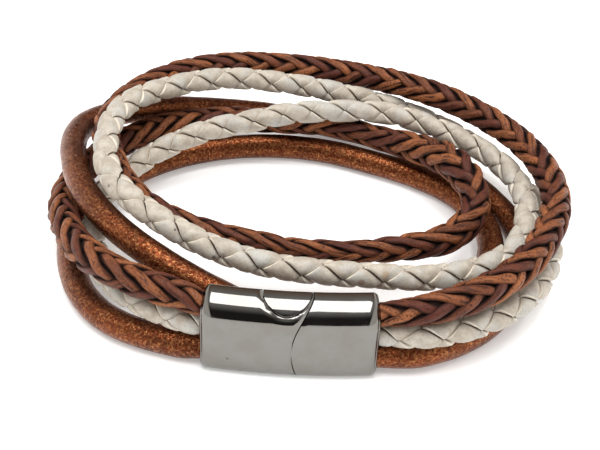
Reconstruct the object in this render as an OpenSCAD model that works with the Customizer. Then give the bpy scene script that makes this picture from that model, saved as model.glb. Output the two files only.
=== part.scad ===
// Double-wrap leather bracelet, lying on its side.
// Three cords leave the left half of a magnetic clasp, go round twice and end in its right half.
// Millimetres, +Z up, the clasp towards -Y.

/* [Clasp] */
// Length of the closed clasp, along its middle line
clasp_length = 22; // [21:0.2:24]
// Height of the clasp, across the three stacked cords
clasp_height = 11.8; // [11.8:0.1:13]
// Thickness of the clasp, from the wrist outwards
clasp_thick = 5.2; // [5.2:0.1:5.8]
// Radius of the clasp's long rounded edges
edge_r = 2; // [1.4:0.1:2.2]
// Radius of the arch that fits the clasp to the wrist
clasp_bend = 54; // [50:1:70]
// Metal left round the sockets
wall = 0.55; // [0.4:0.05:0.55]
// Depth of the socket in each half
socket_depth = 7; // [6:0.5:7]

/* [Parting of the clasp] */
// Gap where the two halves meet
parting_gap = 0.1; // [0.06:0.02:0.3]
// Radius of the curved parting face
parting_r = 12; // [10:0.5:20]
// How far the parting face lies to the right of the clasp's middle
parting_x = 0.4; // [0:0.1:1]
// Radius of the round tongue on the top edge
tongue_r = 3.1; // [2.6:0.1:3.2]
// Depth of the tongue below the top edge
tongue_depth = 1.6; // [1:0.1:2]

/* [Cords] */
// Thickness of the smooth copper cord
copper_d = 4; // [3.6:0.1:4]
// Thickness of the white braid
white_d = 3.7; // [3.4:0.1:3.7]
// Thickness of the copper cord where the clasp holds it
copper_end_d = 3.7; // [3.4:0.1:3.7]
// Thickness of the two braids where the clasp holds them
braid_end_d = 3.3; // [3:0.1:3.3]
// Room round each cord in its socket
cord_fit = 0.1; // [0.05:0.01:0.1]

/* [Hidden] */
// The middle of the two turns, from which the routes below are measured
ring_x = -0.23;
ring_y = -1.25;
// The front of the clasp's middle line, from the same middle
clasp_x = -1.2;
clasp_y = -29.5;
// The round tongue's middle, from the clasp's: a little left, and towards the wrist
tongue_x = -0.5;
tongue_y = 1.4;
// Cord heights in the sockets, copper at the bottom and brown on top
copper_end_z = wall + cord_fit + copper_end_d / 2;
white_end_z = copper_end_z + copper_end_d / 2 + cord_fit + braid_end_d / 2;
brown_end_z = white_end_z + braid_end_d + cord_fit;
// Sides of the tubes, and rings from one row of a route to the next
copper_sides = 10;
white_sides = 8;
brown_sides = 10;
rings_a_row = 2;
// Row of each route after which its second turn begins, half way to the next row
turn_row = 19;
// Circles of the clasp
$fn = 96;

// Routes of the cords, clockwise from the left socket to the right one.
// A row holds the angle round the ring, the distance from its middle and the height.
copper_route = [
    [240, 32, 2], [220, 35.5, 2], [200, 35.5, 2], [180, 34, 2],
    [160, 30.5, 2], [140, 27, 2], [120, 24, 2], [100, 22, 2],
    [80, 21, 2], [60, 21, 2], [40, 23, 2], [20, 26, 2],
    [0, 28, 2], [-20, 28, 2], [-40, 26.5, 2], [-60, 25, 2],
    [-80, 24, 2.5], [-100, 24, 4], [-120, 25.5, 7], [-140, 28, 9.5],
    [-160, 31, 10.5], [-180, 34.5, 10.5], [-200, 38, 9.5], [-220, 36, 7],
    [-240, 33, 4.5], [-260, 30.5, 3], [-280, 29, 2], [-300, 28.5, 2],
    [-320, 29, 2], [-340, 30.5, 2], [-360, 32.5, 2], [-380, 33, 2],
    [-400, 33, 2], [-420, 32, 2.5]
];
white_route = [
    [240, 31.5, 6], [220, 33, 6], [200, 32, 5], [180, 30.5, 5.5],
    [160, 27, 6.5], [140, 22.5, 8.5], [120, 19.5, 9.5], [100, 19.5, 10],
    [80, 21, 10], [60, 25, 9.5], [40, 29.5, 8], [20, 33, 7],
    [0, 33, 7], [-20, 31, 6.5], [-40, 25.5, 6.5], [-60, 20.5, 7],
    [-80, 18.5, 7.5], [-100, 19, 8.5], [-120, 21, 10], [-140, 24.5, 12.5],
    [-160, 28.5, 15], [-180, 29.5, 15.5], [-200, 30.5, 15], [-220, 31, 13],
    [-240, 30, 12], [-260, 28.6, 10.6], [-280, 28.5, 9.2], [-300, 30.9, 7.3],
    [-320, 34.1, 5.1], [-340, 35.8, 3.8], [-360, 36.5, 4], [-380, 36.5, 5],
    [-400, 35.5, 6], [-420, 33, 6.5]
];
// The brown braid is thinner where it is pulled tight and thicker where it is bunched in the
// tight right bend, so its rows hold its thickness too.
brown_route = [
    [240, 31.5, 10, 3.6], [220, 34.5, 10, 3.9], [200, 35.5, 8, 4], [180, 36, 6, 4],
    [160, 34.5, 5.5, 4], [140, 31.5, 5.5, 4], [120, 27.5, 5.5, 3.8], [100, 23.5, 6, 3.6],
    [80, 22.9, 6.2, 3.4], [60, 22.5, 6.1, 3.5], [40, 23.2, 7.2, 4.4], [20, 24.4, 8.6, 4.8],
    [0, 25.3, 7.7, 4], [-20, 22.5, 7, 4], [-40, 17.5, 7, 3.4], [-60, 14.5, 7, 2.8],
    [-80, 13, 7, 2.8], [-100, 13.5, 7.5, 2.8], [-120, 14.5, 8, 2.8], [-140, 18, 8.5, 3],
    [-160, 24, 10, 3.4], [-180, 28.5, 10.5, 3.8], [-200, 33.5, 11.5, 3.8], [-220, 35, 12, 4],
    [-240, 34.5, 12, 4], [-260, 33, 11.5, 4], [-280, 32.8, 10.8, 4], [-300, 32.3, 11.4, 4],
    [-320, 34, 11, 4], [-340, 36, 10.5, 4], [-360, 36.5, 10.5, 4], [-380, 35.5, 11, 4],
    [-400, 34.5, 11, 4], [-420, 32.5, 10.5, 3.8]
];

// Angle, in degrees, of a length measured along the clasp's middle line
function arch_angle(s) = s / clasp_bend * 180 / PI;

// Route row of a cord inside the clasp, s along the clasp's middle line from its middle
function socket_row(s, z, d, turn) =
    let (a = arch_angle(s))
    let (x = clasp_x + clasp_bend * sin(a))
    let (y = clasp_y + clasp_bend * (1 - cos(a)))
    [atan2(y, x) + turn, norm([x, y]), z, d];

// A cord's whole route: its end in the left socket, its two turns, its end in the right socket
function whole_route(rows, z, d) =
    let (mouth = clasp_length / 2)
    let (inner = mouth - socket_depth + cord_fit)
    let (middle = (mouth + inner) / 2)
    concat(
        [for (s = [inner, middle, mouth]) socket_row(-s, z, d, 360)],
        rows,
        [for (s = [mouth, middle, inner]) socket_row(s, z, d, -360)]
    );

// Rows with the same thickness added to each
function with_thickness(rows, d) = [for (r = rows) [r[0], r[1], r[2], d]];

// Change of a route with the angle, at row i
function slope(rows, i) =
    let (a = max(i - 1, 0))
    let (b = min(i + 1, len(rows) - 1))
    (rows[b] - rows[a]) / (rows[b][0] - rows[a][0]);

// Route between row i and the next one, where t goes from 0 to 1
function between(rows, i, t) =
    let (h = rows[i + 1][0] - rows[i][0])
    (2 * t ^ 3 - 3 * t ^ 2 + 1) * rows[i]
    + (3 * t ^ 2 - 2 * t ^ 3) * rows[i + 1]
    + (t ^ 3 - 2 * t ^ 2 + t) * h * slope(rows, i)
    + (t ^ 3 - t ^ 2) * h * slope(rows, i + 1);

// Centre and radius of a ring, never lower than the surface under the bracelet
function ring_at(row) =
    let (r = row[3] / 2)
    [[ring_x + row[1] * cos(row[0]), ring_y + row[1] * sin(row[0]), max(row[2], r)], r];

// All the rings of a cord
function rings(rows) = [
    for (i = [0 : len(rows) - 2])
        for (k = [0 : rings_a_row - 1])
            ring_at(between(rows, i, k / rings_a_row)),
    ring_at(rows[len(rows) - 1])
];

// Ring number k as points: the first one is the lowest
function ring_points(all, k, sides) =
    let (next = all[min(k + 1, len(all) - 1)][0])
    let (last = all[max(k - 1, 0)][0])
    let (forward = (next - last) / norm(next - last))
    let (across = cross(forward, [0, 0, 1]) / norm(cross(forward, [0, 0, 1])))
    let (up = cross(across, forward))
    [for (j = [0 : sides - 1])
        all[k][0] + all[k][1] * (sin(j * 360 / sides) * across - cos(j * 360 / sides) * up)];

// A cord as a closed tube, from ring number a to ring number b
module tube(all, a, b, sides) {
    n = b - a;
    points = [for (k = [a : b]) each ring_points(all, k, sides)];
    walls = [
        for (k = [0 : n - 1])
            for (j = [0 : sides - 1])
                let (j2 = (j + 1) % sides)
                each [
                    [k * sides + j, k * sides + j2, (k + 1) * sides + j2],
                    [k * sides + j, (k + 1) * sides + j2, (k + 1) * sides + j]
                ]
    ];
    start_cap = [for (j = [sides - 1 : -1 : 0]) j];
    end_cap = [for (j = [0 : sides - 1]) n * sides + j];
    polyhedron(points = points, faces = concat(walls, [start_cap, end_cap]), convexity = 10);
}

// Ring where the first turn ends and the second one begins
function turn_ring() = turn_row * rings_a_row + rings_a_row / 2;

module first_turn(rows, sides) {
    tube(rings(rows), 0, turn_ring(), sides);
}

module second_turn(rows, sides) {
    all = rings(rows);
    tube(all, turn_ring(), len(all) - 1, sides);
}

copper_rows = whole_route(with_thickness(copper_route, copper_d), copper_end_z, copper_end_d);
white_rows = whole_route(with_thickness(white_route, white_d), white_end_z, braid_end_d);
brown_rows = whole_route(brown_route, brown_end_z, braid_end_d);

// Upright rounded outline of the clasp, or of its sockets when inset
module clasp_outline(inset) {
    r = edge_r - inset;
    thick = clasp_thick - 2 * inset;
    height = clasp_height - 2 * inset;
    translate([clasp_bend, clasp_height / 2]) {
        square([thick - 2 * r, height], center = true);
        square([thick, height - 2 * r], center = true);
        for (side = [-1, 1])
            for (end = [-1, 1])
                translate([side * (thick / 2 - r), end * (height / 2 - r)])
                    circle(r);
    }
}

// The outline swept along the clasp's arch, from s to e along its middle line
module clasp_arch(s, e, inset) {
    translate([ring_x + clasp_x, ring_y + clasp_y + clasp_bend, 0])
        rotate([0, 0, arch_angle(s) - 90])
            rotate_extrude(angle = arch_angle(e - s))
                clasp_outline(inset);
}

// Round tool whose left side is the curved parting face, grown by the gap
module parting_face(grow) {
    translate([ring_x + clasp_x + parting_x + parting_r, ring_y + clasp_y, clasp_height / 2])
        rotate([90, 0, 0])
            cylinder(r = parting_r + grow, h = 4 * clasp_thick, center = true);
}

// Round tongue in the top edge, grown by the gap
module tongue(grow) {
    translate([ring_x + clasp_x + tongue_x, ring_y + clasp_y + tongue_y, clasp_height - tongue_depth - grow])
        cylinder(r = tongue_r + grow, h = 2 * tongue_depth);
}

module clasp_left() {
    color("silver")
        difference() {
            clasp_arch(-clasp_length / 2, clasp_length / 4, 0);
            parting_face(parting_gap);
            tongue(parting_gap);
            clasp_arch(-clasp_length, socket_depth - clasp_length / 2, wall);
        }
}

module clasp_right() {
    color("silver")
        difference() {
            intersection() {
                clasp_arch(-clasp_length / 4, clasp_length / 2, 0);
                union() {
                    parting_face(0);
                    tongue(0);
                }
            }
            clasp_arch(clasp_length / 2 - socket_depth, clasp_length, wall);
        }
}

module copper_cord_first_turn() {
    color("#9a5a2c") first_turn(copper_rows, copper_sides);
}

module copper_cord_second_turn() {
    color("#9a5a2c") second_turn(copper_rows, copper_sides);
}

module white_braid_first_turn() {
    color("#cfc7b6") first_turn(white_rows, white_sides);
}

module white_braid_second_turn() {
    color("#cfc7b6") second_turn(white_rows, white_sides);
}

module brown_braid_first_turn() {
    color("#6b3d28") first_turn(brown_rows, brown_sides);
}

module brown_braid_second_turn() {
    color("#6b3d28") second_turn(brown_rows, brown_sides);
}

clasp_left();
clasp_right();
copper_cord_first_turn();
copper_cord_second_turn();
white_braid_first_turn();
white_braid_second_turn();
brown_braid_first_turn();
brown_braid_second_turn();
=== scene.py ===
import math
import bmesh
import bpy
import numpy as np
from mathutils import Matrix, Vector


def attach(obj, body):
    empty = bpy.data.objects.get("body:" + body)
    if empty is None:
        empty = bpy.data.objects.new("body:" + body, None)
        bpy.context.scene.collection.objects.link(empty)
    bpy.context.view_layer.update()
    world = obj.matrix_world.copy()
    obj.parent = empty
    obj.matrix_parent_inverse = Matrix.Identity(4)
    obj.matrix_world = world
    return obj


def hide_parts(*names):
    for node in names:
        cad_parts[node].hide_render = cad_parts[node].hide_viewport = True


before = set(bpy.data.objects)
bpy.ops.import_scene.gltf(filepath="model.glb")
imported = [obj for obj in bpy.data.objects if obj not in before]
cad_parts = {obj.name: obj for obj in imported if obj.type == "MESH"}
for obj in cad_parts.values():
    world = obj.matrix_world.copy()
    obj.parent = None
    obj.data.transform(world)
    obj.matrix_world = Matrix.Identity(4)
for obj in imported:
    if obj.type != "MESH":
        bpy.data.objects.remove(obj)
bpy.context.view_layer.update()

bpy.ops.object.select_all(action="DESELECT")

# Camera: the bracelet lies on a table and is seen from in front and above through a long lens that
# leans a little to one side. All sizes are in metres.
camera_elevation = math.radians(36.6)
camera_distance = 0.1676
camera_target = Vector((-0.00103, 0.00115, 0))
camera_offset = Vector((0, -math.cos(camera_elevation), math.sin(camera_elevation)))
bpy.ops.object.camera_add(location=camera_target + camera_distance * camera_offset)
camera = bpy.context.object
camera.name = "camera"
camera.rotation_euler = (math.pi / 2 - camera_elevation, 0, 0)
camera.rotation_euler.rotate_axis("Z", math.radians(3.0))
camera.data.sensor_width = 36
camera.data.lens = 64.6
camera.data.clip_start = 0.01
bpy.context.scene.camera = camera

# Copper cord: one smooth round leather cord, dyed dark and rubbed with copper and gold, so its
# grain glitters. It leaves the left half of the clasp, lies round the ring twice, clockwise from
# above, and is glued into the right half.
ring_middle = (-0.00023, -0.00125)
copper_thickness = 0.004
# The places that it passes: angle in degrees, distance from the ring's middle, height of its
# centre. The cord's thickness there is added to each row.
copper_rows = [(*row, copper_thickness) for row in (
    (240, 0.032, 0.002), (220, 0.0355, 0.002), (200, 0.0355, 0.002), (180, 0.034, 0.002),
    (160, 0.0305, 0.002), (140, 0.027, 0.002), (120, 0.024, 0.002), (100, 0.022, 0.002),
    (80, 0.021, 0.002), (60, 0.021, 0.002), (40, 0.023, 0.002), (20, 0.026, 0.002),
    (0, 0.028, 0.002), (-20, 0.028, 0.002), (-40, 0.0265, 0.002), (-60, 0.025, 0.002),
    (-80, 0.024, 0.0025), (-100, 0.024, 0.004), (-120, 0.0255, 0.007), (-140, 0.028, 0.0095),
    (-160, 0.031, 0.0105), (-180, 0.0345, 0.0105), (-200, 0.038, 0.0095), (-220, 0.036, 0.007),
    (-240, 0.033, 0.0045), (-260, 0.0305, 0.003), (-280, 0.029, 0.002), (-300, 0.0285, 0.002),
    (-320, 0.029, 0.002), (-340, 0.0305, 0.002), (-360, 0.0325, 0.002), (-380, 0.033, 0.002),
    (-400, 0.033, 0.002), (-420, 0.032, 0.0025))]
# In the sockets: height of its centre, and thickness
copper_end = (0.0025, 0.0037)
# The arch that every cord follows inside the clasp: its length, its radius and its middle
clasp_length = 0.022
clasp_bend = 0.054
clasp_centre = (-0.0012, -0.0295)
socket_depth = 0.007
glue_room = 0.0001


def socket_row(s, height, thickness, turn):
    """A row inside a socket, s along the clasp's arch from the clasp's middle."""
    x = clasp_centre[0] + clasp_bend * math.sin(s / clasp_bend)
    y = clasp_centre[1] + clasp_bend * (1 - math.cos(s / clasp_bend))
    return (math.degrees(math.atan2(y, x)) + turn, math.hypot(x, y), height, thickness)


def lay_cord(rows, end, step):
    """The whole route from socket to socket, as even steps with the cord's own directions."""
    mouth = clasp_length / 2
    inner = mouth - socket_depth + glue_room
    depths = (inner, (mouth + inner) / 2, mouth)
    rows = np.array([socket_row(-s, *end, 360) for s in depths] + rows
                    + [socket_row(s, *end, -360) for s in reversed(depths)])
    slopes = np.empty_like(rows)
    slopes[1:-1] = (rows[2:] - rows[:-2]) / (rows[2:, :1] - rows[:-2, :1])
    slopes[0] = (rows[1] - rows[0]) / (rows[1, 0] - rows[0, 0])
    slopes[-1] = (rows[-1] - rows[-2]) / (rows[-1, 0] - rows[-2, 0])
    points_a_row = 60
    t = np.linspace(0, 1, points_a_row, endpoint=False)[:, None]
    path = []
    for i in range(len(rows) - 1):
        h = rows[i + 1, 0] - rows[i, 0]
        path.append((2 * t**3 - 3 * t**2 + 1) * rows[i] + (3 * t**2 - 2 * t**3) * rows[i + 1]
                    + (t**3 - 2 * t**2 + t) * h * slopes[i] + (t**3 - t**2) * h * slopes[i + 1])
    angle, distance, height, thickness = np.vstack(path + [rows[-1:]]).T
    centre = np.stack([ring_middle[0] + distance * np.cos(np.radians(angle)),
                       ring_middle[1] + distance * np.sin(np.radians(angle)),
                       np.maximum(height, thickness / 2)], axis=1)
    s = np.concatenate([[0], np.cumsum(np.linalg.norm(np.diff(centre, axis=0), axis=1))])
    even = np.linspace(0, s[-1], round(s[-1] / step) + 1)
    centre = np.stack([np.interp(even, s, centre[:, k]) for k in range(3)], axis=1)
    forward = np.gradient(centre, axis=0)
    forward /= np.linalg.norm(forward, axis=1)[:, None]
    across = np.cross(forward, (0, 0, 1))
    across /= np.linalg.norm(across, axis=1)[:, None]
    return {"s": even, "centre": centre, "across": across, "up": np.cross(across, forward),
            "thickness": np.interp(even, s, thickness)}


def along(cord, key, s):
    """One of a cord's rows of values, read at any distances s along it."""
    values = cord[key]
    if values.ndim == 1:
        return np.interp(s, cord["s"], values)
    return np.stack([np.interp(s, cord["s"], values[:, k]) for k in range(3)], axis=-1)


def round_point(cord, s, turn, radius):
    """Points at s along a cord, at an angle round it from its inner side, off its centre line."""
    out = (np.cos(turn)[..., None] * along(cord, "across", s)
           + np.sin(turn)[..., None] * along(cord, "up", s))
    return along(cord, "centre", s) + radius[..., None] * out


def strand_object(name, strands):
    """One object from closed strands: each is a grid of rings, with how far along and how far
    round they go for the UV map, and with three values that its material reads as a colour."""
    points, quads, caps, uvs, cap_uvs, values = [], [], [], [], [], []
    first = 0
    for grid, length, girth, value in strands:
        rings, sides = grid.shape[:2]
        ring, side = np.meshgrid(np.arange(rings - 1), np.arange(sides), indexing="ij")
        corners = ((0, 0), (1, 0), (1, 1), (0, 1))
        quads.append(np.stack([first + (ring + a) * sides + (side + b) % sides
                               for a, b in corners], axis=-1).reshape(-1, 4))
        uvs.append(np.stack([np.stack([length[ring + a], girth[side + b]], axis=-1)
                             for a, b in corners], axis=-2).reshape(-1, 2))
        for row, order in ((0, np.arange(sides)), (rings - 1, np.arange(sides)[::-1])):
            caps.append((first + row * sides + order).tolist())
            cap_uvs.append(np.stack([np.full(sides, length[row]), girth[order]], axis=-1))
        points.append(grid.reshape(-1, 3))
        colour = np.ones((rings, sides, 4))
        colour[..., :3] = value
        values.append(colour.reshape(-1, 4))
        first += rings * sides
    mesh = bpy.data.meshes.new(name)
    mesh.from_pydata(np.vstack(points).tolist(), [], np.vstack(quads).tolist() + caps)
    layer = mesh.uv_layers.new(name="along")
    layer.data.foreach_set("uv", np.vstack(uvs + cap_uvs).ravel())
    strand = mesh.attributes.new("strand", "FLOAT_COLOR", "POINT")
    strand.data.foreach_set("color", np.vstack(values).ravel())
    mesh.polygons.foreach_set("use_smooth", np.ones(len(mesh.polygons), dtype=bool))
    form = bmesh.new()
    form.from_mesh(mesh)
    bmesh.ops.recalc_face_normals(form, faces=form.faces)
    form.to_mesh(mesh)
    form.free()
    piece = bpy.data.objects.new(name, mesh)
    bpy.context.collection.objects.link(piece)
    return piece


class Wire:
    """One output in a material's nodes, so that shader sums read as ordinary arithmetic."""

    def __init__(self, tree, socket=None):
        self.tree, self.socket = tree, socket

    def node(self, kind, settings, inputs, output=0):
        """A new node: its kind, its settings, what its sockets get, and which output goes on."""
        made = self.tree.nodes.new(kind)
        for name, value in settings.items():
            setattr(made, name, value)
        for key, value in inputs.items():
            if isinstance(value, Wire):
                self.tree.links.new(value.socket, made.inputs[key])
            else:
                made.inputs[key].default_value = value
        return Wire(self.tree, made.outputs[output] if made.outputs else None)

    def math(self, operation, *values):
        return self.node("ShaderNodeMath", {"operation": operation}, dict(enumerate(values)))

    def absolute(self):
        return self.math("ABSOLUTE", self)

    def at_least(self, other):
        return self.math("MAXIMUM", self, other)

    def at_most(self, other):
        return self.math("MINIMUM", self, other)

    def __add__(self, other):
        return self.math("ADD", self, other)

    def __radd__(self, other):
        return self.math("ADD", other, self)

    def __sub__(self, other):
        return self.math("SUBTRACT", self, other)

    def __rsub__(self, other):
        return self.math("SUBTRACT", other, self)

    def __mul__(self, other):
        return self.math("MULTIPLY", self, other)

    def __rmul__(self, other):
        return self.math("MULTIPLY", other, self)

    def __pow__(self, other):
        return self.math("POWER", self, other)

    def ramp(self, low, high, kind="SMOOTHSTEP"):
        """0 below low, 1 above high, and a smooth rise between."""
        return self.node("ShaderNodeMapRange", {"interpolation_type": kind},
                         {"Value": self, "From Min": low, "From Max": high})

    def noise(self, scale, detail=2.0, roughness=0.5, distortion=0.0):
        return self.node("ShaderNodeTexNoise", {}, {
            "Vector": self, "Scale": scale, "Detail": detail, "Roughness": roughness,
            "Distortion": distortion}, "Fac")

    def blend(self, a, b):
        """Colour a where this is 0, colour b where it is 1."""
        return self.node("ShaderNodeMix", {"data_type": "RGBA"}, {0: self, 6: a, 7: b}, 2)

    def stretch(self, x, y, z):
        return self.node("ShaderNodeVectorMath", {"operation": "MULTIPLY"},
                         {0: self, 1: (x, y, z)})

    def away_from(self, point):
        """How far this place is from a point."""
        return self.node("ShaderNodeVectorMath", {"operation": "DISTANCE"},
                         {0: self, 1: point}, "Value")

    def part(self, axis):
        """This place's X, Y or Z alone."""
        return self.node("ShaderNodeSeparateXYZ", {}, {0: self}, axis)

    def channel(self, name):
        """One of the values that a strand keeps as a colour."""
        return self.node("ShaderNodeSeparateColor", {}, {0: self}, name)

    def bump(self, distance, strength=1.0, under=None):
        """Normals of a relief this high, on top of those of the relief under it."""
        inputs = {"Height": self, "Distance": distance, "Strength": strength}
        if under is not None:
            inputs["Normal"] = under
        return self.node("ShaderNodeBump", {}, inputs, "Normal")


def new_material(name):
    """An empty material and the start of its wires."""
    material = bpy.data.materials.new(name)
    material.use_nodes = True
    material.node_tree.nodes.clear()
    return material, Wire(material.node_tree)


def set_surface(start, inputs):
    """The one shader of a material, from wires and plain values."""
    shader = start.node("ShaderNodeBsdfPrincipled", {}, inputs, "BSDF")
    start.node("ShaderNodeOutputMaterial", {}, {"Surface": shader})


def straightened(start, radius):
    """Where a point would lie if the cord were pulled straight, so that its grain has no seam."""
    uv = start.node("ShaderNodeUVMap", {"uv_map": "along"}, {})
    s = uv.part("X")
    turn = uv.part("Y") * (2 * math.pi)
    return s, start.node("ShaderNodeCombineXYZ", {}, {
        "X": s, "Y": turn.math("COSINE", turn) * radius, "Z": turn.math("SINE", turn) * radius})


copper_route = lay_cord(copper_rows, copper_end, step=0.0005)
copper_sides = 24
copper_turns = np.arange(copper_sides) * 2 * math.pi / copper_sides - math.pi / 2
copper_s, copper_turn = np.meshgrid(copper_route["s"], copper_turns, indexing="ij")
uneven = (0.01 * np.sin(copper_s * 900 + 2 * np.sin(copper_turn))
          * np.sin(copper_s * 377 + copper_turn))
copper_radius = along(copper_route, "thickness", copper_s) / 2 * (0.99 + uneven)
copper_cord = strand_object("copper_cord", [(
    round_point(copper_route, copper_s, copper_turn, copper_radius), copper_route["s"],
    np.arange(copper_sides + 1) / copper_sides, (0, 0, 0))])
copper_leather, wire = new_material("copper_leather")
s, straight = straightened(wire, copper_thickness / 2)
grain = straight.noise(2900, 3, 0.6, 0.6)
cloud = straight.noise(300, 3, 0.6)
wrinkles = straight.stretch(1.5, 0.8, 0.8).noise(800, 4, 0.6, 1.5)
creases = (wrinkles - 0.5).absolute().ramp(0, 0.04)
near_clasp = 1 - s.ramp(0.008, 0.03)
worn = (grain * 0.45 + cloud * 0.55).ramp(0.38, 0.62)
copper_colour = worn.blend((0.092, 0.0175, 0.0050, 1), (0.180, 0.041, 0.0120, 1))
copper_colour = (grain.ramp(0.42, 0.72) * 0.40).blend(copper_colour, (0.62, 0.31, 0.125, 1))
# Painted shade: the crease lines are coloured half way to dark brown.
copper_colour = (creases * 0.5 + 0.5).blend((0.06, 0.016, 0.006, 1), copper_colour)
copper_grain = (grain + (0.25 + near_clasp) * creases).bump(0.00013, 0.8)
set_surface(wire, {"Base Color": copper_colour, "Metallic": 0.92,
                   "Roughness": 0.31 - 0.08 * worn, "Normal": copper_grain})
copper_cord.data.materials.append(copper_leather)
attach(copper_cord, "root")
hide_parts("copper_cord_first_turn", "copper_cord_second_turn")

# White braid: four flat leather laces, two wound each way, plaited over one and under one into a
# round cord. Each lace shows as a row of soft diamonds, with a highlight painted along its cut
# edges.
white_thickness = 0.0037
white_rows = [(*row, white_thickness) for row in (
    (240, 0.0315, 0.006), (220, 0.033, 0.006), (200, 0.032, 0.005), (180, 0.0305, 0.0055),
    (160, 0.027, 0.0065), (140, 0.0225, 0.0085), (120, 0.0195, 0.0095), (100, 0.0195, 0.01),
    (80, 0.021, 0.01), (60, 0.025, 0.0095), (40, 0.0295, 0.008), (20, 0.033, 0.007),
    (0, 0.033, 0.007), (-20, 0.031, 0.0065), (-40, 0.0255, 0.0065), (-60, 0.0205, 0.007),
    (-80, 0.0185, 0.0075), (-100, 0.019, 0.0085), (-120, 0.021, 0.01), (-140, 0.0245, 0.0125),
    (-160, 0.0285, 0.015), (-180, 0.0295, 0.0155), (-200, 0.0305, 0.015), (-220, 0.031, 0.013),
    (-240, 0.03, 0.012), (-260, 0.0286, 0.0106), (-280, 0.0285, 0.0092), (-300, 0.0309, 0.0073),
    (-320, 0.0341, 0.0051), (-340, 0.0358, 0.0038), (-360, 0.0365, 0.004), (-380, 0.0365, 0.005),
    (-400, 0.0355, 0.006), (-420, 0.033, 0.0065))]
white_end = (0.0061, 0.0033)
# Measured places of its pattern: distance along it, crossings counted up to there, and how far
# the braid is twisted there, in degrees
white_marks = ((0, -0.753, 0), (0.045, 7.64, 0), (0.084, 15.6, 35), (0.0895, 16.6, 33),
               (0.096, 17.6, 31), (0.1019, 18.6, 38), (0.1079, 19.6, 46), (0.1137, 20.6, 46),
               (0.1466, 26.6, 0), (0.1565, 28.6, 0), (0.1679, 30.6, 0), (0.1791, 32.6, 0),
               (0.1894, 34.6, 0), (0.2225, 41.0, -15), (0.2321, 42.6, -12), (0.241, 44.1, -5),
               (0.2596, 47.6, 11), (0.2642, 48.6, 8), (0.2695, 49.6, 8), (0.3, 55.2, 0),
               (0.45, 83.2, 0))
white_lace_thick = 0.0009
white_lace_share = 0.97
white_lace_rings = 1120
# Crossings by which a lace is longer than the cord, at its start and at its end
white_lace_spare = (0.547, 0.3)
white_rise = 0.0004
# How early the laces of each hand dip
white_dip_early = {1: 0.3, -1: 0.1}
# For the UV map: half a lace's width, and the cord's length from crossing to crossing
white_lace_half = 0.0016
white_crossing_step = 0.00535
# Marks of wear: where each one is, its radius, and its colour
white_stains = (((-0.01767, -0.01885, 0.01299), 0.00020, (0.04, 0.038, 0.035, 1)),
                ((-0.01235, -0.02085, 0.01018), 0.00042, (0.09, 0.062, 0.045, 1)),
                ((0.01085, -0.02015, 0.00815), 0.00065, (0.37, 0.27, 0.18, 1)),
                ((0.00765, -0.02100, 0.00730), 0.00055, (0.28, 0.19, 0.145, 1)),
                ((-0.02740, -0.01328, 0.01565), 0.00030, (0.09, 0.10, 0.09, 1)))
white_middle = white_thickness / 2 - white_rise - white_lace_thick / 2


def over_under(wave, early):
    """How high a lace lies, from about -1 to 1, where a wave says over or under. A lace that dips
    early leaves a gap beside the one that it slips under, darkened by painted shade; below 0, it
    dips late."""
    steepness = 2.2
    return np.tanh(steepness * (wave - early)) / math.tanh(steepness * (1 - early))


def white_lace(cord, number, hand):
    """One flat lace wound with the given hand, as rings that follow the laces that cross it. Its
    run counts crossings along it, and e goes from edge to edge of its section, h up and down."""
    own = -hand * number / 2
    marks = np.transpose(white_marks)
    first, last = np.interp((0, cord["s"][-1]), marks[0], marks[1])
    run = np.linspace(first - white_lace_spare[0], last + white_lace_spare[1], white_lace_rings)
    run -= own
    top = [(e, 1 - 0.12 * abs(e)**3) for e in np.linspace(0.92, -0.92, 9)]
    edge = [(-0.99, 0.7), (-1, 0), (-0.985, -0.6)]
    under = [(e, -0.9) for e in np.linspace(-0.85, 0.85, 4)]
    section = np.array(top + edge + under + [(-e, h) for e, h in reversed(edge)])
    run, e = np.meshgrid(run, section[:, 0], indexing="ij")
    h = np.broadcast_to(section[:, 1], run.shape)
    c = own + e * 0.25 * white_lace_share
    s = np.clip(np.interp(c + run, marks[1], marks[0]), 0, cord["s"][-1])
    turn = hand * math.pi * (run - c) + np.radians(np.interp(s, marks[0], marks[2]))
    scale = along(cord, "thickness", s) / white_thickness
    lift = over_under(hand * np.cos(2 * math.pi * run + math.pi * number), white_dip_early[hand])
    radius = scale * (white_middle + white_rise * lift + h * white_lace_thick / 2)
    grid = round_point(cord, s, turn, radius)
    girth = np.concatenate([section[:, 0], section[:1, 0]])
    # Marks the cut edges, where the material paints a pale highlight.
    edge_highlight = (abs(e) > 0.95) * 1.0
    # The second value, how high the lace lies, is where the material paints shade under crossing
    # laces.
    value = np.stack([edge_highlight, (lift + 1) / 2, np.zeros(run.shape)], axis=-1)
    return grid, run[:, 0] * white_crossing_step, girth * white_lace_half, value


white_route = lay_cord(white_rows, white_end, step=0.00025)
white_braid = strand_object("white_braid", [
    white_lace(white_route, number, hand) for number in (0, 1) for hand in (1, -1)])
white_leather, wire = new_material("white_leather")
place = wire.node("ShaderNodeTexCoord", {}, {}, "Object")
strand = wire.node("ShaderNodeVertexColor", {"layer_name": "strand"}, {})
edge_highlight = strand.channel("Red")
shade_level = strand.channel("Green")
mottle = place.noise(600, 5, 0.65)
cool = place.noise(230, 2, 0.5).ramp(0.48, 0.68)
fine = place.noise(4200, 2, 0.6)
white_colour = mottle.ramp(0.34, 0.66).blend((0.375, 0.32, 0.255, 1), (0.515, 0.465, 0.39, 1))
white_colour = (cool * 0.6).blend(white_colour, (0.46, 0.46, 0.435, 1))
white_colour = (fine.ramp(0.3, 0.5) * 0.4 + 0.6).blend((0.25, 0.20, 0.155, 1), white_colour)
# Painted highlight: every lace's cut edge is coloured pale.
white_colour = edge_highlight.ramp(0.2, 0.9).blend(white_colour, (0.72, 0.65, 0.54, 1))
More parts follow.
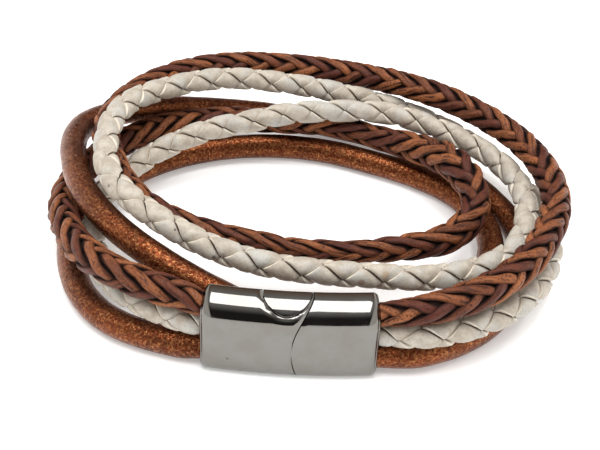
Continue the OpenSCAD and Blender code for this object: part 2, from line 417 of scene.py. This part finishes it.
for middle, size, stain_colour in white_stains:
    uneven_edge = (mottle - 0.5) * (2 * size)
    stain = 1 - (place.away_from(middle) + uneven_edge).ramp(size * 0.4, size * 1.1)
    white_colour = (stain * 0.85).blend(white_colour, stain_colour)
# Painted shade: near black where a lace dips under the one that crosses it.
white_colour = shade_level.ramp(0.24, 0.46).blend((0.035, 0.018, 0.010, 1), white_colour)
white_grain = (fine * 0.5 + place.noise(1300, 3, 0.6)).bump(0.0001, 0.7)
set_surface(wire, {"Base Color": white_colour, "Roughness": 0.55, "Normal": white_grain})
white_braid.data.materials.append(white_leather)
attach(white_braid, "root")
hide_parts("white_braid_first_turn", "white_braid_second_turn")

# Brown braid: twelve thin round laces, six wound each way, plaited over three and under three, so
# the cord shows rows of long slanting laces like ears of corn. They are dyed in several browns.
# The places that it passes, with its thickness there, where it is pulled tight or bunched
brown_rows = [
    (240, 0.0315, 0.01, 0.0036), (220, 0.0345, 0.01, 0.0039), (200, 0.0355, 0.008, 0.004),
    (180, 0.036, 0.006, 0.004), (160, 0.0345, 0.0055, 0.004), (140, 0.0315, 0.0055, 0.004),
    (120, 0.0275, 0.0055, 0.0038), (100, 0.0235, 0.006, 0.0036), (80, 0.0229, 0.0062, 0.0034),
    (60, 0.0225, 0.0061, 0.0035), (40, 0.0232, 0.0072, 0.0044), (20, 0.0244, 0.0086, 0.0048),
    (0, 0.0253, 0.0077, 0.004), (-20, 0.0225, 0.007, 0.004), (-40, 0.0175, 0.007, 0.0034),
    (-60, 0.0145, 0.007, 0.0028), (-80, 0.013, 0.007, 0.0028), (-100, 0.0135, 0.0075, 0.0028),
    (-120, 0.0145, 0.008, 0.0028), (-140, 0.018, 0.0085, 0.003), (-160, 0.024, 0.01, 0.0034),
    (-180, 0.0285, 0.0105, 0.0038), (-200, 0.0335, 0.0115, 0.0038), (-220, 0.035, 0.012, 0.004),
    (-240, 0.0345, 0.012, 0.004), (-260, 0.033, 0.0115, 0.004), (-280, 0.0328, 0.0108, 0.004),
    (-300, 0.0323, 0.0114, 0.004), (-320, 0.034, 0.011, 0.004), (-340, 0.036, 0.0105, 0.004),
    (-360, 0.0365, 0.0105, 0.004), (-380, 0.0355, 0.011, 0.004), (-400, 0.0345, 0.011, 0.004),
    (-420, 0.0325, 0.0105, 0.0038)]
brown_end = (0.0093, 0.0027)
brown_thickness = 0.004
# Measured places of its pattern: distance, laces counted up to there, and twist in degrees
brown_marks = ((0, -2.6, 20), (0.011, 0.1, 15), (0.0317, 5, 2), (0.155, 35, 0), (0.1721, 39, 0),
               (0.2403, 55, -45), (0.2572, 59, -45), (0.3196, 75, -18), (0.3472, 82, -25),
               (0.3575, 84.7, -25))
brown_lace_wide = 0.00145
brown_lace_thick = 0.0011
brown_lace_sides = 10
brown_lace_rings = 680
brown_grain_radius = 0.0007
brown_rise = 0.00036
brown_proud = 0.00028
brown_middle = brown_thickness / 2 - brown_rise - brown_lace_thick / 2 + brown_proud
brown_dip_early = -0.12
# Each lace's tone, from dark to light brown, and how plum it is, first for those of one hand
brown_tones = (((0.15, 0.8), (0.7, 0.1), (0.2, 0.7), (0.75, 0.1), (0.4, 0.3), (0.6, 0.2)),
               ((0.1, 0.9), (0.35, 0.3), (0.15, 0.8), (0.95, 0.0), (0.7, 0.2), (0.8, 0.0)))


def brown_lace(cord, number, hand):
    """One round lace wound with the given hand, squeezed a little flat, and not quite even."""
    s = np.linspace(0, cord["s"][-1], brown_lace_rings)
    marks = np.transpose(brown_marks)
    turn = math.pi / 3 * (hand * np.interp(s, marks[0], marks[1]) + number)
    turn = turn + 0.05 * np.sin(s * 830 + number * 2 + hand) + 0.04 * np.sin(s * 2100 + number * 5)
    scale = along(cord, "thickness", s) / brown_thickness
    lift = over_under(hand * np.cos(2 * turn - math.pi / 3), brown_dip_early)
    radius = scale * (brown_middle + brown_rise * lift)
    centre = round_point(cord, s, turn + np.radians(np.interp(s, marks[0], marks[2])), radius)
    forward = np.gradient(centre, axis=0)
    forward /= np.linalg.norm(forward, axis=1)[:, None]
    out = centre - along(cord, "centre", s)
    out -= forward * np.sum(out * forward, axis=1)[:, None]
    out /= np.linalg.norm(out, axis=1)[:, None]
    side = np.cross(out, forward)
    around = np.linspace(0, 2 * math.pi, brown_lace_sides + 1) - math.pi / 2
    size = (0.3 + 0.7 * scale) * (1 + 0.07 * np.sin(s * 1500 + number * 4 + hand))
    grid = (centre[:, None] + size[:, None, None] * (
        brown_lace_wide / 2 * np.cos(around[:-1])[:, None] * side[:, None]
        + brown_lace_thick / 2 * np.sin(around[:-1])[:, None] * out[:, None]))
    length = np.concatenate([[0], np.cumsum(np.linalg.norm(np.diff(centre, axis=0), axis=1))])
    tone, plum = brown_tones[(hand + 1) // 2][number]
    # share is 1 on the lace's outer side and smaller where the lace lies low. The material paints
    # near-black shade where share is small: on the inner flanks, on the underside, and where the
    # lace dips under others.
    share = (np.sin(around[:-1]) + 1) / 2 * (0.75 + 0.25 * lift[:, None])
    value = np.stack([np.full(share.shape, tone), np.full(share.shape, plum), share], axis=-1)
    own_grain = number * 3.1 + hand * 1.3
    return grid, length, around / (2 * math.pi) + own_grain, value


brown_route = lay_cord(brown_rows, brown_end, step=0.00025)
brown_braid = strand_object("brown_braid", [
    brown_lace(brown_route, number, hand) for number in range(6) for hand in (1, -1)])
brown_leather, wire = new_material("brown_leather")
s, straight = straightened(wire, brown_grain_radius)
strand = wire.node("ShaderNodeVertexColor", {"layer_name": "strand"}, {})
tone = strand.channel("Red")
plum = strand.channel("Green")
raised = strand.channel("Blue")
place = wire.node("ShaderNodeTexCoord", {}, {}, "Object")
patches = place.noise(230, 3, 0.6)
creases = straight.stretch(0.16, 1, 1).noise(2600, 4, 0.6)
pores = straight.noise(3600, 2, 0.6)
tone = (tone + (patches - 0.5) * 1.4).ramp(0, 1, "LINEAR")
brown_colour = tone.blend((0.080, 0.019, 0.009, 1), (0.32, 0.110, 0.040, 1))
brown_colour = (plum * 0.6).blend(brown_colour, (0.095, 0.026, 0.018, 1))
# Painted shade: darker along the lengthwise creases.
brown_colour = creases.ramp(0.30, 0.52).blend((0.035, 0.010, 0.006, 1), brown_colour)
brown_colour = pores.ramp(0.32, 0.46).blend((0.040, 0.012, 0.008, 1), brown_colour)
# Painted shade: near black in the grooves, on each lace's inner flanks and underside, and where it
# dips under others.
brown_colour = raised.ramp(0.48, 0.90).blend((0.008, 0.002, 0.001, 1), brown_colour)
brown_grain = (creases + pores * 0.4).bump(0.00022, 0.9)
set_surface(wire, {"Base Color": brown_colour, "Roughness": 0.85 - 0.45 * raised.ramp(0.6, 0.92),
                   "Specular IOR Level": 0.17, "Normal": brown_grain})
brown_braid.data.materials.append(brown_leather)
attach(brown_braid, "root")
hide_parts("brown_braid_first_turn", "brown_braid_second_turn")

# Clasp: two hollow blocks of polished steel, arched to the wrist, that hold each other by magnets.
# Their joint is a curved line, and a round tongue on the right block drops into a notch in the
# left one. The three cords are glued into the open ends.
clasp_wide = 0.02268
clasp_high = 0.0116
clasp_thick = 0.0048
clasp_arch = 0.09
clasp_middle = Vector((-0.00164, -0.03038, 0))
clasp_pivot = clasp_middle + Vector((0, clasp_arch, 0))
# Roundings of the section: (front -1 or back 1, bottom -1 or top 1): radius and steps
corner_rounds = {(-1, 1): (0.0034, 14), (1, 1): (0.001, 8), (1, -1): (0.0016, 8),
                 (-1, -1): (0.0016, 8)}
mouth_round = 0.0007
mouth_ledge = 0.00005
edge_round = 0.00007
joint_gap = 0.00014
joint_radius = 0.0105
joint_middle = Vector((clasp_middle.x + 0.0004 + joint_radius, clasp_middle.y, 0.0047))
tongue_radius = 0.0031
tongue_deep = 0.0016
tongue_middle = Vector((clasp_middle.x - 0.0005, clasp_middle.y + 0.0014, clasp_high))
dent_middle = (-0.0095, -0.03245, 0.0029)
dent_radius = 0.00032
cutter_deep = 0.02
cutter_wide = 0.03
cutter_shift = 0.0165


def pick(block, kind, test):
    """In edit mode, selects the corners or faces of a block that pass a test."""
    bpy.ops.mesh.select_mode(type=kind)
    bpy.ops.mesh.select_all(action="DESELECT")
    form = bmesh.from_edit_mesh(block.data)
    for element in (form.verts if kind == "VERT" else form.faces):
        element.select_set(test(element))
    bmesh.update_edit_mesh(block.data)


def is_end(face):
    """The two ends of the spun section are the only faces with many corners."""
    return len(face.verts) > 8


def arched_block(name):
    """The whole clasp in one piece: a rounded section spun along the arch, open at both ends."""
    bpy.ops.mesh.primitive_plane_add(size=1, location=(*clasp_middle.xy, clasp_high / 2),
                                     rotation=(math.pi / 2, 0, math.pi / 2))
    block = bpy.context.object
    block.name = name
    block.scale = (clasp_thick, clasp_high, 1)
    bpy.ops.object.transform_apply(location=True, rotation=True, scale=True)
    bpy.ops.object.mode_set(mode="EDIT")
    for (depth, height), (radius, steps) in corner_rounds.items():
        corner = clasp_middle + Vector((0, depth * clasp_thick / 2, (1 + height) * clasp_high / 2))
        pick(block, "VERT", lambda vert: (vert.co - corner).length < 1e-5)
        bpy.ops.mesh.bevel(offset=radius, segments=steps, affect="VERTICES")
    bpy.ops.mesh.select_all(action="SELECT")
    bpy.ops.transform.rotate(value=clasp_wide / clasp_arch / 2, orient_axis="Z",
                             center_override=clasp_pivot)
    bpy.ops.mesh.spin(steps=20, angle=-clasp_wide / clasp_arch, center=clasp_pivot, axis=(0, 0, 1))
    bpy.ops.mesh.select_all(action="SELECT")
    bpy.ops.mesh.normals_make_consistent(inside=False)
    pick(block, "FACE", is_end)
    bpy.ops.mesh.region_to_loop()
    bpy.ops.mesh.bevel(offset=mouth_round, segments=6, affect="EDGES")
    pick(block, "FACE", is_end)
    bpy.ops.mesh.inset(thickness=mouth_ledge)
    bpy.ops.mesh.extrude_region_shrink_fatten(TRANSFORM_OT_shrink_fatten={"value": -socket_depth})
    bpy.ops.object.mode_set(mode="OBJECT")
    return block


def cut_block(block, operation, cutter):
    """Cuts a block with a cutter, and takes the cutter away."""
    cut = block.modifiers.new("cut", "BOOLEAN")
    cut.operation = operation
    cut.solver = "EXACT"
    cut.object = cutter
    bpy.context.view_layer.objects.active = block
    bpy.ops.object.modifier_apply(modifier="cut")
    bpy.data.objects.remove(cutter)


def joint_cutter(grow):
    """What belongs to the right block: everything right of the joint, and the tongue."""
    bpy.ops.mesh.primitive_cylinder_add(vertices=240, radius=joint_radius + grow, depth=cutter_deep,
                                        location=joint_middle, rotation=(math.pi / 2, 0, 0))
    side = bpy.context.object
    bpy.ops.object.transform_apply(location=True, rotation=True)
    bpy.ops.mesh.primitive_cube_add(size=cutter_wide,
                                    location=joint_middle + Vector((cutter_shift, 0, 0)))
    far = bpy.context.object
    bpy.ops.object.transform_apply(location=True)
    bpy.ops.mesh.primitive_cylinder_add(vertices=120, radius=tongue_radius + grow,
                                        depth=2 * (tongue_deep + grow), location=tongue_middle)
    tongue = bpy.context.object
    bpy.ops.object.transform_apply(location=True)
    cut_block(side, "UNION", far)
    cut_block(side, "UNION", tongue)
    return side


left_block = arched_block("left_block")
right_block = arched_block("right_block")
cut_block(left_block, "DIFFERENCE", joint_cutter(joint_gap))
cut_block(right_block, "INTERSECT", joint_cutter(0))
for block in (left_block, right_block):
    bpy.context.view_layer.objects.active = block
    edge = block.modifiers.new("edge", "BEVEL")
    edge.width = edge_round
    edge.segments = 2
    edge.angle_limit = math.radians(40)
    bpy.ops.object.modifier_apply(modifier="edge")
    bpy.ops.object.select_all(action="DESELECT")
    block.select_set(True)
    bpy.ops.object.shade_smooth_by_angle(angle=math.radians(30))
    flat = block.modifiers.new("flat", "WEIGHTED_NORMAL")
    flat.keep_sharp = True
    bpy.ops.object.modifier_apply(modifier="flat")
    bpy.ops.object.select_all(action="DESELECT")

clasp_steel, wire = new_material("clasp_steel")
place = wire.node("ShaderNodeTexCoord", {}, {}, "Object")
x = place.part("X")
y = place.part("Y")
z = place.part("Z")
# The polish has softened the edges of the mouths and of the left block's side of the joint
from_joint = ((x - joint_middle.x) ** 2 + (z - joint_middle.z) ** 2) ** 0.5 - joint_radius
beside_tongue = ((x - tongue_middle.x) ** 2 + (y - tongue_middle.y) ** 2) ** 0.5 - tongue_radius
beside_tongue = beside_tongue.at_least(0)
under_tongue = (clasp_high - tongue_deep - z).at_least(0)
from_tongue = (beside_tongue ** 2 + under_tongue ** 2) ** 0.5
from_joint = from_joint.at_most(from_tongue)
from_mouth = clasp_wide / 2 - (x - clasp_middle.x).absolute()
joint_rim = (1 - from_joint.ramp(0, 0.0010, "LINEAR")) ** 2
mouth_rim = (1 - from_mouth.ramp(0.0001, 0.0014, "LINEAR")) ** 2
smudges = place.noise(300, 3, 0.6)
scratches = place.stretch(1, 1, 0.2).noise(2500, 2, 0.6)
polish = (place.noise(500, 2, 0.5) + scratches * 0.15).bump(0.00001, 0.4)
softened = (0 - joint_rim * 0.7 - mouth_rim).bump(0.0004, 1.0, polish)
from_dent = place.away_from(dent_middle)
softened = from_dent.ramp(0, dent_radius).bump(0.00008, 1.0, softened)
steel_colour = smudges.ramp(0.35, 0.65).blend((0.186, 0.176, 0.160, 1), (0.200, 0.195, 0.183, 1))
# Painted shade: the hollow of the dent is coloured dark.
steel_colour = from_dent.ramp(0.00008, 0.00024).blend((0.09, 0.085, 0.076, 1), steel_colour)
set_surface(wire, {"Base Color": steel_colour, "Metallic": 1.0,
                   "Roughness": 0.06 + smudges.ramp(0.4, 0.8) * 0.08, "Normal": softened})
for block, node in ((left_block, "clasp_left"), (right_block, "clasp_right")):
    block.data.materials.append(clasp_steel)
    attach(block, "root")
    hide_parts(node)

# Floor and light: a pale table under a wide soft lamp that hangs almost overhead, in a room that
# is dim in front, brown behind, and bright at both sides, as the clasp mirrors it.
bpy.ops.mesh.primitive_plane_add(size=4)
table = bpy.context.object
table.name = "table"
pale, wire = new_material("pale_table")
set_surface(wire, {"Base Color": (0.93, 0.93, 0.93, 1), "Roughness": 0.7,
                   "Emission Color": (1, 1, 1, 1), "Emission Strength": 0.28})
table.data.materials.append(pale)

bpy.ops.object.light_add(type="AREA", location=(-0.01, -0.045, 0.6))
lamp = bpy.context.object
lamp.name = "softbox"
lamp.data.shape = "RECTANGLE"
lamp.data.size = 0.5
lamp.data.size_y = 0.54
lamp.data.energy = 4.5
lamp.rotation_euler = (-lamp.location).to_track_quat("-Z", "Y").to_euler()
world = bpy.context.scene.world or bpy.data.worlds.new("room")
bpy.context.scene.world = world
world.use_nodes = True
world.node_tree.nodes.clear()
wire = Wire(world.node_tree)
direction = wire.node("ShaderNodeTexCoord", {}, {}, "Generated")
height = direction.part("Z")
depth = direction.part("Y")
behind = (depth * 0.5 + 0.5).ramp(0.3, 0.9)
far_wall = height.ramp(0.15, 0.45).blend((0.06, 0.05, 0.045, 1), (0.38, 0.25, 0.18, 1))
room = behind.blend((0.05, 0.048, 0.045, 1), far_wall)
aside = (direction.part("X").absolute() - height * 0.45).ramp(0.20, 0.36)
room = aside.blend(room, (1.25, 1.23, 1.18, 1))
room = height.ramp(0.5, 0.95).blend(room, (0.6, 0.6, 0.6, 1))
background = wire.node("ShaderNodeBackground", {}, {"Color": room, "Strength": 1.0})
wire.node("ShaderNodeOutputWorld", {}, {"Surface": background})

bpy.context.scene.view_settings.view_transform = "Standard"
